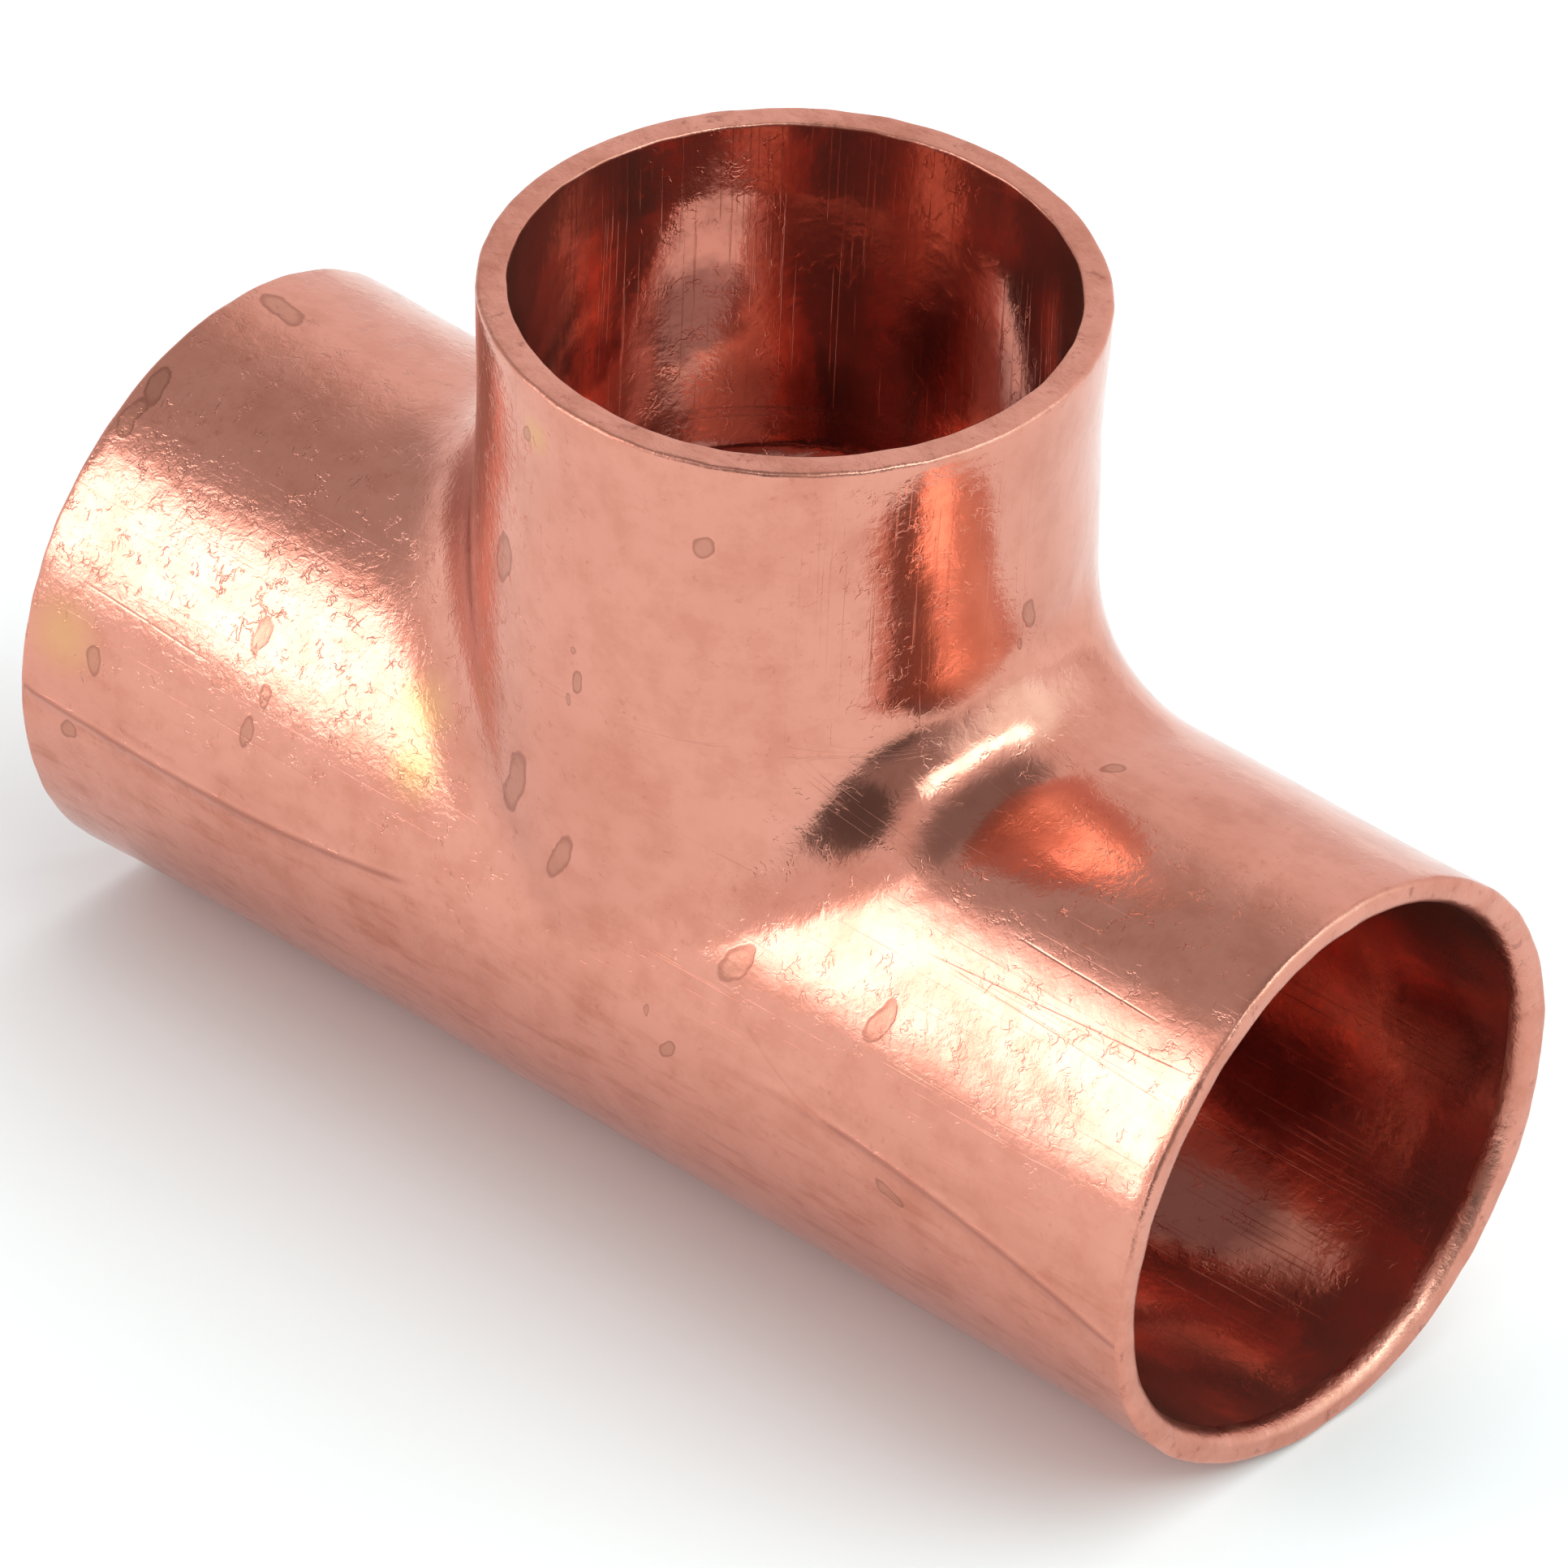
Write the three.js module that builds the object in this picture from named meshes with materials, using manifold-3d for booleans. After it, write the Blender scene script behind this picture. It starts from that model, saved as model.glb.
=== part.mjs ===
// Equal tee for end-feed (capillary) copper tube, formed from one length of tube.
// Millimetres, +Z up. The run lies along X, the branch rises along +Z, and the
// origin is on the ground straight under the point where the two axes cross.
import * as THREE from 'three';
import { ParametricGeometry } from 'three/addons/geometries/ParametricGeometry.js';
import { mergeVertices } from 'three/addons/utils/BufferGeometryUtils.js';
import Module from 'manifold-3d';

// --- Driving dimensions -----------------------------------------------------
const TUBE_OD = 15;              // outside diameter of the tube each socket takes
const SOCKET_GAP = 0.1;          // socket bore less tube diameter, filled by solder
const SOCKET_WALL = 0.95;        // wall at a mouth, outside the socket bore
const BODY_WALL = 1.27;          // wall of the body between the sockets
const RUN_END = 19.8;            // branch axis to each run mouth
const BRANCH_END = 18.1;         // run axis to the branch mouth
const RUN_SOCKET_DEPTH = 10.6;   // mouth to tube stop, on the run
const BRANCH_SOCKET_DEPTH = 10;  // mouth to tube stop, on the branch
const RUN_WAIST = 0.06;          // how far the run's body is drawn in behind its mouths
const BRANCH_WAIST = 0.22;       // how far the branch is drawn in below its mouth
const RUN_FLARE = 3;             // length over which a run mouth opens out
const BRANCH_FLARE = 4.6;        // length over which the branch mouth opens out
const LEAD_IN = 2;               // length of the slight taper inside each mouth
const LEAD_IN_STEP = 0.12;       // how much that taper widens the bore, on the radius
const RIM_BEVEL = 0.12;          // broken outer edge of each rim
const CROTCH_RADIUS = 5;         // outside fillet between branch and run
const BORE_CROTCH_RADIUS = 4.5;  // inside fillet between the two bores

// --- Fineness of the faceted surface -----------------------------------------
const SEGMENTS = 64;             // around each tube, an even number
const FILLET_STEPS = 6;          // across the crotch fillet
const FLARE_STEPS = 3;           // along each flared mouth
const OVERRUN = 1;               // how far a bore cutter passes its mouth
const FILLET_BITE = 0.03;        // how far the fillet's edges lie inside both tubes

// --- Derived sizes -------------------------------------------------------------
const socketRadius = (TUBE_OD + SOCKET_GAP) / 2;
const mouthRadius = socketRadius + SOCKET_WALL;
const runRadius = mouthRadius - RUN_WAIST;
const branchRadius = mouthRadius - BRANCH_WAIST;
const runBore = runRadius - BODY_WALL;
const branchBore = branchRadius - BODY_WALL;
const halfFacet = Math.PI / SEGMENTS;
const axisHeight = mouthRadius * Math.cos(halfFacet);

const copper = new THREE.MeshStandardMaterial({
  color: 0xc88a74,
  metalness: 1,
  roughness: 0.32,
});

// --- Solids ----------------------------------------------------------------------
const wasm = await Module();
wasm.setup();

// A closed three.js geometry as a solid that can be joined and cut.
function solid(geometry) {
  geometry.deleteAttribute('normal');
  geometry.deleteAttribute('uv');
  const merged = mergeVertices(geometry, 1e-4);
  return new wasm.Manifold(new wasm.Mesh({
    numProp: 3,
    vertProperties: new Float32Array(merged.attributes.position.array),
    triVerts: new Uint32Array(merged.index.array),
  }));
}

// A solid back as a three.js geometry, with flat facets.
function geometryOf(manifold) {
  const mesh = manifold.getMesh();
  const geometry = new THREE.BufferGeometry();
  geometry.setAttribute('position', new THREE.BufferAttribute(mesh.vertProperties, 3));
  geometry.setIndex(new THREE.BufferAttribute(mesh.triVerts, 1));
  geometry.computeVertexNormals();
  return geometry;
}

// A profile of [radius, height] pairs turned about Y.
function turned(profile) {
  const points = profile.map(([radius, height]) => new THREE.Vector2(radius, height));
  return new THREE.LatheGeometry(points, SEGMENTS);
}

// The run is turned by half a facet, so that it stands on a flat facet and not on an edge.
const alongX = (geometry) => geometry.rotateY(halfFacet).rotateZ(-Math.PI / 2);
const alongZ = (geometry) => geometry.rotateX(Math.PI / 2);

// --- Outside of a tube end ---------------------------------------------------------
// From the body radius out to the mouth, with a soft start, then the broken edge.
function mouthProfile(bodyRadius, end, flare) {
  const profile = [];
  for (let step = 0; step <= FLARE_STEPS; step += 1) {
    const along = step / FLARE_STEPS;
    const rise = along * along * (3 - 2 * along);
    const radius = bodyRadius + (mouthRadius - bodyRadius) * rise;
    profile.push([radius, end - flare + (flare - RIM_BEVEL) * along]);
  }
  profile.push([mouthRadius - RIM_BEVEL, end]);
  return profile;
}

// --- Bore of a tube end ----------------------------------------------------------------
// From the body bore over the tube stop into the socket, and out past the mouth.
function socketProfile(bore, end, depth) {
  const rimBore = socketRadius + LEAD_IN_STEP;
  return [
    [bore, end - depth - (socketRadius - bore)],
    [socketRadius, end - depth],
    [socketRadius, end - LEAD_IN],
    [rimBore, end],
    [rimBore, end + OVERRUN],
  ];
}

const mirrored = (profile) => profile.map(([radius, height]) => [radius, -height]).reverse();
const closed = (profile) => [[0, profile[0][1]], ...profile, [0, profile.at(-1)[1]]];

// --- Crotch fillet -----------------------------------------------------------------------
// The ball of the fillet radius rolls round the branch in the corner, touching both
// tubes. Each section runs from the axis plane up to its touch on the branch, along the
// ball to its touch on the run, and back. The sections close into one ring.
function saddle(runFace, branchFace, touchRadius) {
  const run = runFace - FILLET_BITE;
  const branch = branchFace - FILLET_BITE;
  const ball = touchRadius + FILLET_BITE;
  const stepsAround = FILLET_STEPS + 2;
  const centre = new THREE.Vector3();
  const fromBranch = new THREE.Vector3();
  const fromRun = new THREE.Vector3();

  function place(u, v, target) {
    const angle = -2 * Math.PI * (u % 1);
    const step = Math.round(v * stepsAround) % stepsAround;
    const reach = branch + ball;
    const y = reach * Math.sin(angle);
    centre.set(reach * Math.cos(angle), y, Math.sqrt((run + ball) ** 2 - y * y));
    if (step === 0) {
      target.set(centre.x, y, 0).multiplyScalar(branch / reach / 2);
      return;
    }
    fromBranch.set(-Math.cos(angle), -Math.sin(angle), 0);
    fromRun.set(0, -y, -centre.z).normalize();
    const sweep = fromBranch.angleTo(fromRun);
    const part = (step - 1) / FILLET_STEPS;
    target.copy(fromBranch).multiplyScalar(Math.sin((1 - part) * sweep));
    target.addScaledVector(fromRun, Math.sin(part * sweep));
    target.multiplyScalar(ball / Math.sin(sweep)).add(centre);
  }
  return new ParametricGeometry(place, SEGMENTS, stepsAround);
}

// --- The fitting ---------------------------------------------------------------------------
function outside() {
  const runEnd = mouthProfile(runRadius, RUN_END, RUN_FLARE);
  const run = solid(alongX(turned(closed([...mirrored(runEnd), ...runEnd]))));
  const branchEnd = mouthProfile(branchRadius, BRANCH_END, BRANCH_FLARE);
  const branch = solid(alongZ(turned(closed([[branchRadius, 0], ...branchEnd]))));
  const fillet = solid(saddle(runRadius, branchRadius, CROTCH_RADIUS));
  return run.add(branch).add(fillet);
}

function inside() {
  const runEnd = socketProfile(runBore, RUN_END, RUN_SOCKET_DEPTH);
  const run = solid(alongX(turned(closed([...mirrored(runEnd), ...runEnd]))));
  const branchEnd = socketProfile(branchBore, BRANCH_END, BRANCH_SOCKET_DEPTH);
  const branch = solid(alongZ(turned(closed([[branchBore, 0], ...branchEnd]))));
  const rounding = solid(saddle(runBore, branchBore, BORE_CROTCH_RADIUS));
  return run.add(branch).add(rounding);
}

const body = new THREE.Mesh(geometryOf(outside().subtract(inside())), copper);
body.name = 'tee_body';

const tee = new THREE.Group();
tee.name = 'equal_tee';
tee.position.z = axisHeight;
tee.add(body);

export default tee;
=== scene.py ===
"""Equal tee for end-feed copper tube, standing on a pale floor in soft studio light."""

import math

import bpy
import numpy as np
from bpy.props import FloatProperty, FloatVectorProperty, IntProperty, PointerProperty
from mathutils import Matrix, Vector, noise


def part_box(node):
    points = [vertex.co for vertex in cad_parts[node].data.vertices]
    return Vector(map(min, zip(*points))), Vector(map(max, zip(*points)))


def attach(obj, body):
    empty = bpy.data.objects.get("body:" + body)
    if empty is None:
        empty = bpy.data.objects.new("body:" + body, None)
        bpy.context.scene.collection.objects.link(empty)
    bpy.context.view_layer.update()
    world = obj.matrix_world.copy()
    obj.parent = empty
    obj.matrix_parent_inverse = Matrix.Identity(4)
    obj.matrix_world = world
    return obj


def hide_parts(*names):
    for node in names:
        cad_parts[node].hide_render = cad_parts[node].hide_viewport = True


bl_info = {
    "name": "Copper Tee",
    "version": (1, 0, 0),
    "blender": (4, 5, 0),
    "location": "3D View > Sidebar > Tee",
    "description": "An equal tee for end-feed copper tube, with its finish and a studio stage",
    "category": "Object",
}

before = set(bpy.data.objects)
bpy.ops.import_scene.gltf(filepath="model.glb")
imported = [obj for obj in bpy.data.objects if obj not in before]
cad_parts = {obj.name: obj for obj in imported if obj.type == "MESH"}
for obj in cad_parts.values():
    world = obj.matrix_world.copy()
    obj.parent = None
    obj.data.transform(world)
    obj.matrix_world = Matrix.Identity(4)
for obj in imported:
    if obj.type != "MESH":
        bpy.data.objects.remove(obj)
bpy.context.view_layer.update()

# --- Sizes that come from the frame -------------------------------------------
MM = 0.001
NODE = "tee_body"
BODY = "root"
LOW_CORNER, HIGH_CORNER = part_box(NODE)
RUN_END = HIGH_CORNER.x
MOUTH_RADIUS = HIGH_CORNER.y
AXIS_HEIGHT = MOUTH_RADIUS
BRANCH_END = HIGH_CORNER.z - AXIS_HEIGHT


# --- Settings --------------------------------------------------------------------
class TeeShape(bpy.types.PropertyGroup):
    """Sizes of the fitting that the frame doesn't give."""

    socket_wall: FloatProperty(
        name="Socket Wall", description="Wall at a mouth, outside the socket",
        default=0.95 * MM, unit="LENGTH", precision=5)
    body_wall: FloatProperty(
        name="Body Wall", description="Wall of the body between the sockets",
        default=1.27 * MM, unit="LENGTH", precision=5)
    run_waist: FloatProperty(
        name="Run Waist", description="How far the run's body is drawn in behind its mouths",
        default=0.06 * MM, unit="LENGTH", precision=5)
    branch_waist: FloatProperty(
        name="Branch Waist", description="How far the branch is drawn in below its mouth",
        default=0.22 * MM, unit="LENGTH", precision=5)
    run_flare: FloatProperty(
        name="Run Flare", description="Length over which a run mouth opens out",
        default=3 * MM, unit="LENGTH", precision=5)
    branch_flare: FloatProperty(
        name="Branch Flare", description="Length over which the branch mouth opens out",
        default=4.6 * MM, unit="LENGTH", precision=5)
    run_socket: FloatProperty(
        name="Run Socket Depth", description="Mouth to tube stop, on the run",
        default=10.6 * MM, unit="LENGTH", precision=5)
    branch_socket: FloatProperty(
        name="Branch Socket Depth", description="Mouth to tube stop, on the branch",
        default=10 * MM, unit="LENGTH", precision=5)
    crotch_radius: FloatProperty(
        name="Crotch Radius", description="Outside fillet between branch and run",
        default=5 * MM, unit="LENGTH", precision=5)
    right_tuck: FloatProperty(
        name="Right Tuck", description="How much tighter the crotch is on the right",
        default=2.2 * MM, unit="LENGTH", precision=5)
    bore_crotch_radius: FloatProperty(
        name="Bore Crotch Radius", description="Inside fillet between branch and run",
        default=4.5 * MM, unit="LENGTH", precision=5)
    columns: IntProperty(
        name="Columns", description="Mesh columns round the branch, a multiple of four",
        default=224, min=48, max=400)


class CopperFinish(bpy.types.PropertyGroup):
    """Colours and wear of the copper."""

    clean: FloatVectorProperty(
        name="Clean Copper", description="Colour of the pickled skin",
        subtype="COLOR", size=3, default=(0.71, 0.302, 0.225))
    tarnish: FloatVectorProperty(
        name="Tarnish", description="Colour where a thin oxide has started",
        subtype="COLOR", size=3, default=(0.54, 0.19, 0.125))
    straw: FloatVectorProperty(
        name="Straw Tint", description="Colour of the heat tint",
        subtype="COLOR", size=3, default=(0.70, 0.39, 0.15))
    dried_water: FloatVectorProperty(
        name="Dried Water", description="Colour inside a dried water spot",
        subtype="COLOR", size=3, default=(0.46, 0.2, 0.135))
    bore: FloatVectorProperty(
        name="Bore", description="Colour inside, where the copper was left unpolished",
        subtype="COLOR", size=3, default=(0.66, 0.235, 0.168))
    # A dark oxide colour for stains, rings, lines and dirt, also used to paint shade into the bores.
    bore_stain: FloatVectorProperty(
        name="Bore Stain", description="Colour of the oxide that is left inside",
        subtype="COLOR", size=3, default=(0.31, 0.1, 0.075))
    roughness: FloatProperty(
        name="Roughness", description="Roughness of the pickled skin",
        subtype="FACTOR", default=0.13, min=0.05, max=0.9)


class StudioStage(bpy.types.PropertyGroup):
    """Floor, lights and camera."""

    floor: FloatVectorProperty(
        name="Floor", description="Colour of the floor",
        subtype="COLOR", size=3, default=(0.92, 0.92, 0.92))
    key: FloatProperty(
        name="Key Light", description="Brightness of the key window",
        default=3.6, min=0)
    fill: FloatProperty(
        name="Fill Light", description="Brightness of the light over the floor",
        default=1.35, min=0)
    azimuth: FloatProperty(
        name="Camera Azimuth", description="Camera's bearing, from the near side towards the right",
        subtype="ANGLE", default=math.radians(40.75))
    elevation: FloatProperty(
        name="Camera Elevation", description="Camera's height over the horizon",
        subtype="ANGLE", default=math.radians(35.69))
    roll: FloatProperty(
        name="Camera Roll", description="Turn of the camera about its own axis",
        subtype="ANGLE", default=math.radians(2.59))
    distance: FloatProperty(
        name="Camera Distance", description="From the crossing of the axes to the camera",
        unit="LENGTH", default=374.5 * MM)
    lens: FloatProperty(
        name="Lens", description="Focal length of the camera, in millimetres",
        default=324.4, min=10)


# --- Shape of the fitting -------------------------------------------------------------
# Points are rows of x, y, z in metres from the crossing of the axes. A grid holds
# [row, column, xyz]; its rows run from the crotch outwards, over a lip, and back inside.
FILLET_ROWS = 20
WALL_ROWS = 34
BORE_ROWS = (6, 20, 4, 10)       # lead-in, socket, tube stop, body
UNDERSIDE_COLUMNS = 146
TUCK_BEARING = -5                # middle of the tighter stretch of crotch, in degrees from +X
TUCK_REACH = 48                  # its half length
TUCK_FADE = 38                   # the part of that over which it fades
LIP_ROWS = (5, 4, 6)             # outer edge, land, inner edge
RUN_LIP = (0.16 * MM, 0.42 * MM, 0.6 * MM)        # outer rounding, inner rounding, its depth
BRANCH_LIP = (0.12 * MM, 0.06 * MM, 0.08 * MM)
LEAD_IN = 2.1 * MM               # length of the slight taper inside each mouth
LEAD_IN_STEP = 0.12 * MM         # how much that taper widens the bore, on the radius
STOP_STEP = 0.55 * MM            # length of the slope at a tube stop
PARTING_CREST = 0.045 * MM       # height of the die's parting line
PARTING_WIDTH = 0.17 * MM        # its half width
BURR = 0.03 * MM                 # unevenness of the cut rims
OVAL_FROM = 9.2 * MM             # from the crossing to where a mouth's out-of-round begins
BROAD_WAVE = (7 * MM, 0.035 * MM)                 # size and depth of the wall's unevenness
FINE_WAVE = (2.2 * MM, 0.008 * MM)
BURR_SIZE = 0.8 * MM
BURR_REACH = 0.5 * MM            # how far back from a rim its burrs reach
WAVE_SEED = 7                    # above 0, so that the unevenness is the same in every run
MERGE_DISTANCE = 0.002 * MM

# Out-of-round of each mouth: lobes, depth, and where a lobe points, in degrees.
RIGHT_MOUTH_LOBES = ((2, 0.07, 4), (3, 0.06, 82), (4, 0.08, 18))
LEFT_MOUTH_LOBES = ((2, 0.05, 80), (3, 0.05, -24), (4, 0.04, 55))
BRANCH_MOUTH_LOBES = ((2, 0.22, 117), (3, 0.03, -11), (4, 0.03, 26))


def eased(t):
    t = np.clip(t, 0, 1)
    return t * t * (3 - 2 * t)


def blend(start, end, count, first=False):
    """count rows from start to end; the start row itself only when first is true."""
    steps = np.linspace(0, 1, count + 1)[0 if first else 1:]
    return [start + (end - start) * t for t in steps]


class Tee:
    """The fitting's derived sizes and surfaces."""

    def __init__(self, shape):
        self.shape = shape
        self.socket = MOUTH_RADIUS - shape.socket_wall
        self.run = MOUTH_RADIUS - shape.run_waist
        self.branch = MOUTH_RADIUS - shape.branch_waist
        self.run_bore = self.run - shape.body_wall
        self.branch_bore = self.branch - shape.body_wall
        self.inner_ball = (self.branch_bore, self.run_bore, shape.bore_crotch_radius)
        self.run_stop = RUN_END - shape.run_socket
        self.branch_stop = BRANCH_END - shape.branch_socket

    def bearings(self):
        """Angles round the branch, spread so that their touches on the run are even too."""
        quarter = self.shape.columns // 4
        branch, run, ball = self.branch, self.run, self.shape.crotch_radius
        fine = np.linspace(0, math.pi / 2, 2000)
        touch = np.arcsin((branch + ball) / (run + ball) * np.sin(fine))
        spread = (fine + touch) / 2
        angles = np.interp(np.linspace(0, spread[-1], quarter + 1), spread, fine)
        half = np.concatenate([angles, math.pi - angles[-2::-1]])
        return np.concatenate([half, half[1:-1] + math.pi])

    def outer_ball(self, bearing, side=1):
        """Branch, run and ball of the outside fillet, tighter on the right."""
        turn = (np.degrees(bearing) + 180) % 360 - 180
        tuck = eased((TUCK_REACH - np.abs(turn - TUCK_BEARING)) / TUCK_FADE) * (side > 0)
        return self.branch, self.run, self.shape.crotch_radius - tuck * self.shape.right_tuck

    def ball_centres(self, bearing, sizes):
        """Where the ball of a fillet rolls; sizes are the branch, the run and the ball."""
        branch, run, ball = sizes
        y = (branch + ball) * np.sin(bearing)
        z = np.sqrt((run + ball) ** 2 - y * y)
        return np.stack([(branch + ball) * np.cos(bearing), y, z], -1)

    def fillet(self, bearing, sizes):
        """Rows from the touch on the branch to the touch on the run."""
        branch, run, ball = sizes
        centre = self.ball_centres(bearing, sizes)
        to_branch = np.stack([-np.cos(bearing), -np.sin(bearing), 0 * bearing], -1)
        to_run = centre * (0, -1, -1) / np.reshape(run + ball, (-1, 1))
        sweep = np.arccos((to_branch * to_run).sum(-1))[:, None]
        rows = []
        for t in np.linspace(0, 1, FILLET_ROWS + 1):
            arm = np.sin((1 - t) * sweep) * to_branch + np.sin(t * sweep) * to_run
            rows.append(centre + np.reshape(ball, (-1, 1)) * arm / np.sin(sweep))
        return rows

    def outer_radius(self, along, end, flare, body):
        return body + (MOUTH_RADIUS - body) * eased((along - end + flare) / flare)

    def bore_radius(self, along, end, stop, bore):
        """Body bore, slope of the tube stop, socket, and the lead-in at the mouth."""
        socket = bore + (self.socket - bore) * eased((along - stop + STOP_STEP) / STOP_STEP)
        return socket + LEAD_IN_STEP * np.clip((along - end + LEAD_IN) / LEAD_IN, 0, 1)

    def lip(self, end, sizes):
        """Distance along the tube and radius of each row, from the outside in."""
        outer, inner, depth = sizes
        rim_bore = self.socket + LEAD_IN_STEP * (1 - depth / LEAD_IN)
        crown = MOUTH_RADIUS - outer
        edge = rim_bore + inner
        rows = []
        for t in np.linspace(0, math.pi / 2, LIP_ROWS[0] + 1):
            rows.append((end - outer * (1 - math.sin(t)), MOUTH_RADIUS - outer * (1 - math.cos(t))))
        for t in np.linspace(0, 1, LIP_ROWS[1] + 1)[1:]:
            rows.append((end, crown + (edge - crown) * t))
        for t in np.linspace(0, math.pi / 2, LIP_ROWS[2] + 1)[1:]:
            rows.append((end - depth * (1 - math.cos(t)), edge - inner * math.sin(t)))
        return rows

    def bore_rows(self, top, end, stop, floor):
        """Rows down a bore, bent so that a tube stop always falls between the same rows."""
        upper = np.maximum(stop, floor + 0.35 * (top - floor))
        lower = np.maximum(stop - STOP_STEP, floor + 0.28 * (top - floor))
        lead = end - LEAD_IN + 0 * floor
        rows = []
        for (above, below), count in zip(((top + 0 * floor, lead), (lead, upper),
                                          (upper, lower), (lower, floor)), BORE_ROWS):
            rows += blend(above, below, count)
        return rows

    def branch_grid(self):
        shape = self.shape
        bearing = self.bearings()
        across = np.stack([np.cos(bearing), np.sin(bearing)], -1)
        lip = self.lip(BRANCH_END, BRANCH_LIP)

        def ring(height, radius):
            height = height + 0 * bearing
            return np.concatenate([across * (radius + 0 * bearing)[:, None], height[:, None]], -1)

        ball = self.outer_ball(bearing)
        floor = self.ball_centres(bearing, ball)[:, 2]
        rows = self.fillet(bearing, ball)[::-1]
        for z in blend(floor, lip[0][0] + 0 * floor, WALL_ROWS)[:-1]:
            rows.append(ring(z, self.outer_radius(z, BRANCH_END, shape.branch_flare, self.branch)))
        rows += [ring(z, radius) for z, radius in lip]
        inside_from = len(rows)
        floor = self.ball_centres(bearing, self.inner_ball)[:, 2]
        for z in self.bore_rows(lip[-1][0], BRANCH_END, self.branch_stop, floor)[:-1]:
            rows.append(ring(z, self.branch_bore))
        return np.stack(rows + self.fillet(bearing, self.inner_ball)), inside_from

    def run_edge(self, bearing, sizes):
        """Angle round the run and distance along it where each column of a run end starts."""
        centre = self.ball_centres(bearing, sizes)
        crown = np.arcsin(centre[:, 1] / (sizes[1] + sizes[2]))
        under = underside_angles(crown[-1])
        start = np.concatenate([centre[:, 0], 0 * under])
        return np.concatenate([crown, under]), np.where(np.abs(start) < 1e-9, 0, start)

    def run_grid(self, side):
        """One end of the run: side is 1 for the right and -1 for the left."""
        shape = self.shape
        bearing = self.bearings()
        bearing = (bearing + math.pi) % (2 * math.pi) - math.pi
        bearing = np.sort(bearing[np.abs(bearing) <= math.pi / 2 + 1e-6])
        outer_turn, outer_start = self.run_edge(bearing, self.outer_ball(bearing, side))
        inner_turn, inner_start = self.run_edge(bearing, self.inner_ball)
        lip = self.lip(RUN_END, RUN_LIP)

        def ring(x, radius, turn):
            radius = radius + 0 * turn
            return np.stack([side * (x + 0 * turn), radius * np.sin(turn), radius * np.cos(turn)], -1)

        rows = []
        for x in blend(outer_start, lip[0][0] + 0 * outer_start, WALL_ROWS + 8, first=True)[:-1]:
            radius = self.outer_radius(x, RUN_END, shape.run_flare, self.run)
            rows.append(ring(x, radius, outer_turn))
        for (x, radius), share in zip(lip, np.linspace(0, 1, len(lip))):
            rows.append(ring(x, radius, outer_turn + (inner_turn - outer_turn) * share))
        inside_from = len(rows)
        for x in self.bore_rows(lip[-1][0], RUN_END, self.run_stop, inner_start):
            rows.append(ring(x, self.run_bore, inner_turn))
        return np.stack(rows), inside_from

    def open_sockets(self, points):
        """Widens the bores to the sockets, down to their tube stops."""
        x, y, z = points[..., 0], points[..., 1], points[..., 2]
        radius = np.hypot(x, y)
        wanted = self.bore_radius(z, BRANCH_END, self.branch_stop, self.branch_bore)
        grow = np.where(z > self.branch_stop - STOP_STEP, np.maximum(radius, wanted) / radius, 1)
        x, y = x * grow, y * grow
        radius = np.hypot(y, z)
        wanted = self.bore_radius(np.abs(x), RUN_END, self.run_stop, self.run_bore)
        grow = np.where(np.abs(x) > self.run_stop - STOP_STEP, np.maximum(radius, wanted) / radius, 1)
        return np.stack([x, y * grow, z * grow], -1)


def underside_angles(widest):
    """Angles round the underside of the run, closest together at the two parting lines."""
    fine = np.linspace(widest, 2 * math.pi - widest, 6000)
    near = np.minimum(np.abs(fine - math.pi / 2), np.abs(fine - 1.5 * math.pi))
    density = 1 + 1.8 * np.exp(-(near / math.radians(9)) ** 2)
    total = np.concatenate([[0], np.cumsum((density[1:] + density[:-1]) / 2)])
    wanted = np.linspace(0, total[-1], UNDERSIDE_COLUMNS + 2)[1:-1]
    return np.interp(wanted, total, fine)


class Score:
    """A line on a tube's unrolled sheet, in millimetres: across = offset + slope t + bow t^2."""

    def __init__(self, start, end, offset, slope, bow, width):
        self.start, self.end, self.offset = start, end, offset
        self.slope, self.bow, self.width = slope, bow, width

    def across(self, along):
        t = along - self.start
        return self.offset + self.slope * t + self.bow * t * t


# The die's parting lines on the run, as distance round the run from its crown.
PARTING_RIGHT = Score(9.0, 20.5, 12.75, 0.06, 0.0098, 0.17)
PARTING_LEFT = Score(-20.5, -5.0, 13.45, 0.1, -0.0095, 0.17)
# Handling marks near them: where the die let go, and scratches along the run.
MARKS = (
    Score(5.6, 10.6, 10.6, 1.02, -0.115, 0.11),
    Score(10.4, 19.7, 7.12, -0.065, 0.0, 0.06),
    Score(11.0, 19.7, 7.1, 0.052, 0.0, 0.06),
    Score(12.5, 18.0, 5.6, 0.03, 0.0, 0.05),
    Score(-18.5, -13.0, 9.6, 0.05, 0.0, 0.06),
    Score(-14.0, -8.0, 11.2, 0.04, 0.0, 0.06),
    Score(2.0, 9.0, 15.6, 0.03, 0.0, 0.07),
    Score(-12.0, -3.0, 17.0, 0.02, 0.0, 0.07),
)


def lobed(turn, lobes):
    return sum(depth * MM * np.cos(count * (turn - math.radians(points)))
               for count, depth, points in lobes)


def out_of_round(points):
    """Each mouth as it left the die: a little off a true circle, less so towards the body."""
    x, y, z = points.T
    for side, lobes in ((1, RIGHT_MOUTH_LOBES), (-1, LEFT_MOUTH_LOBES)):
        amount = eased((side * x - OVAL_FROM) / (RUN_END - OVAL_FROM))
        grow = 1 + amount * lobed(np.arctan2(z, y), lobes) / MOUTH_RADIUS
        y, z = y * grow, z * grow
    amount = eased((z - OVAL_FROM) / (BRANCH_END - OVAL_FROM))
    grow = 1 + amount * lobed(np.arctan2(y, x), BRANCH_MOUTH_LOBES) / MOUTH_RADIUS
    return np.stack([x * grow, y * grow, z], -1)


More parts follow.
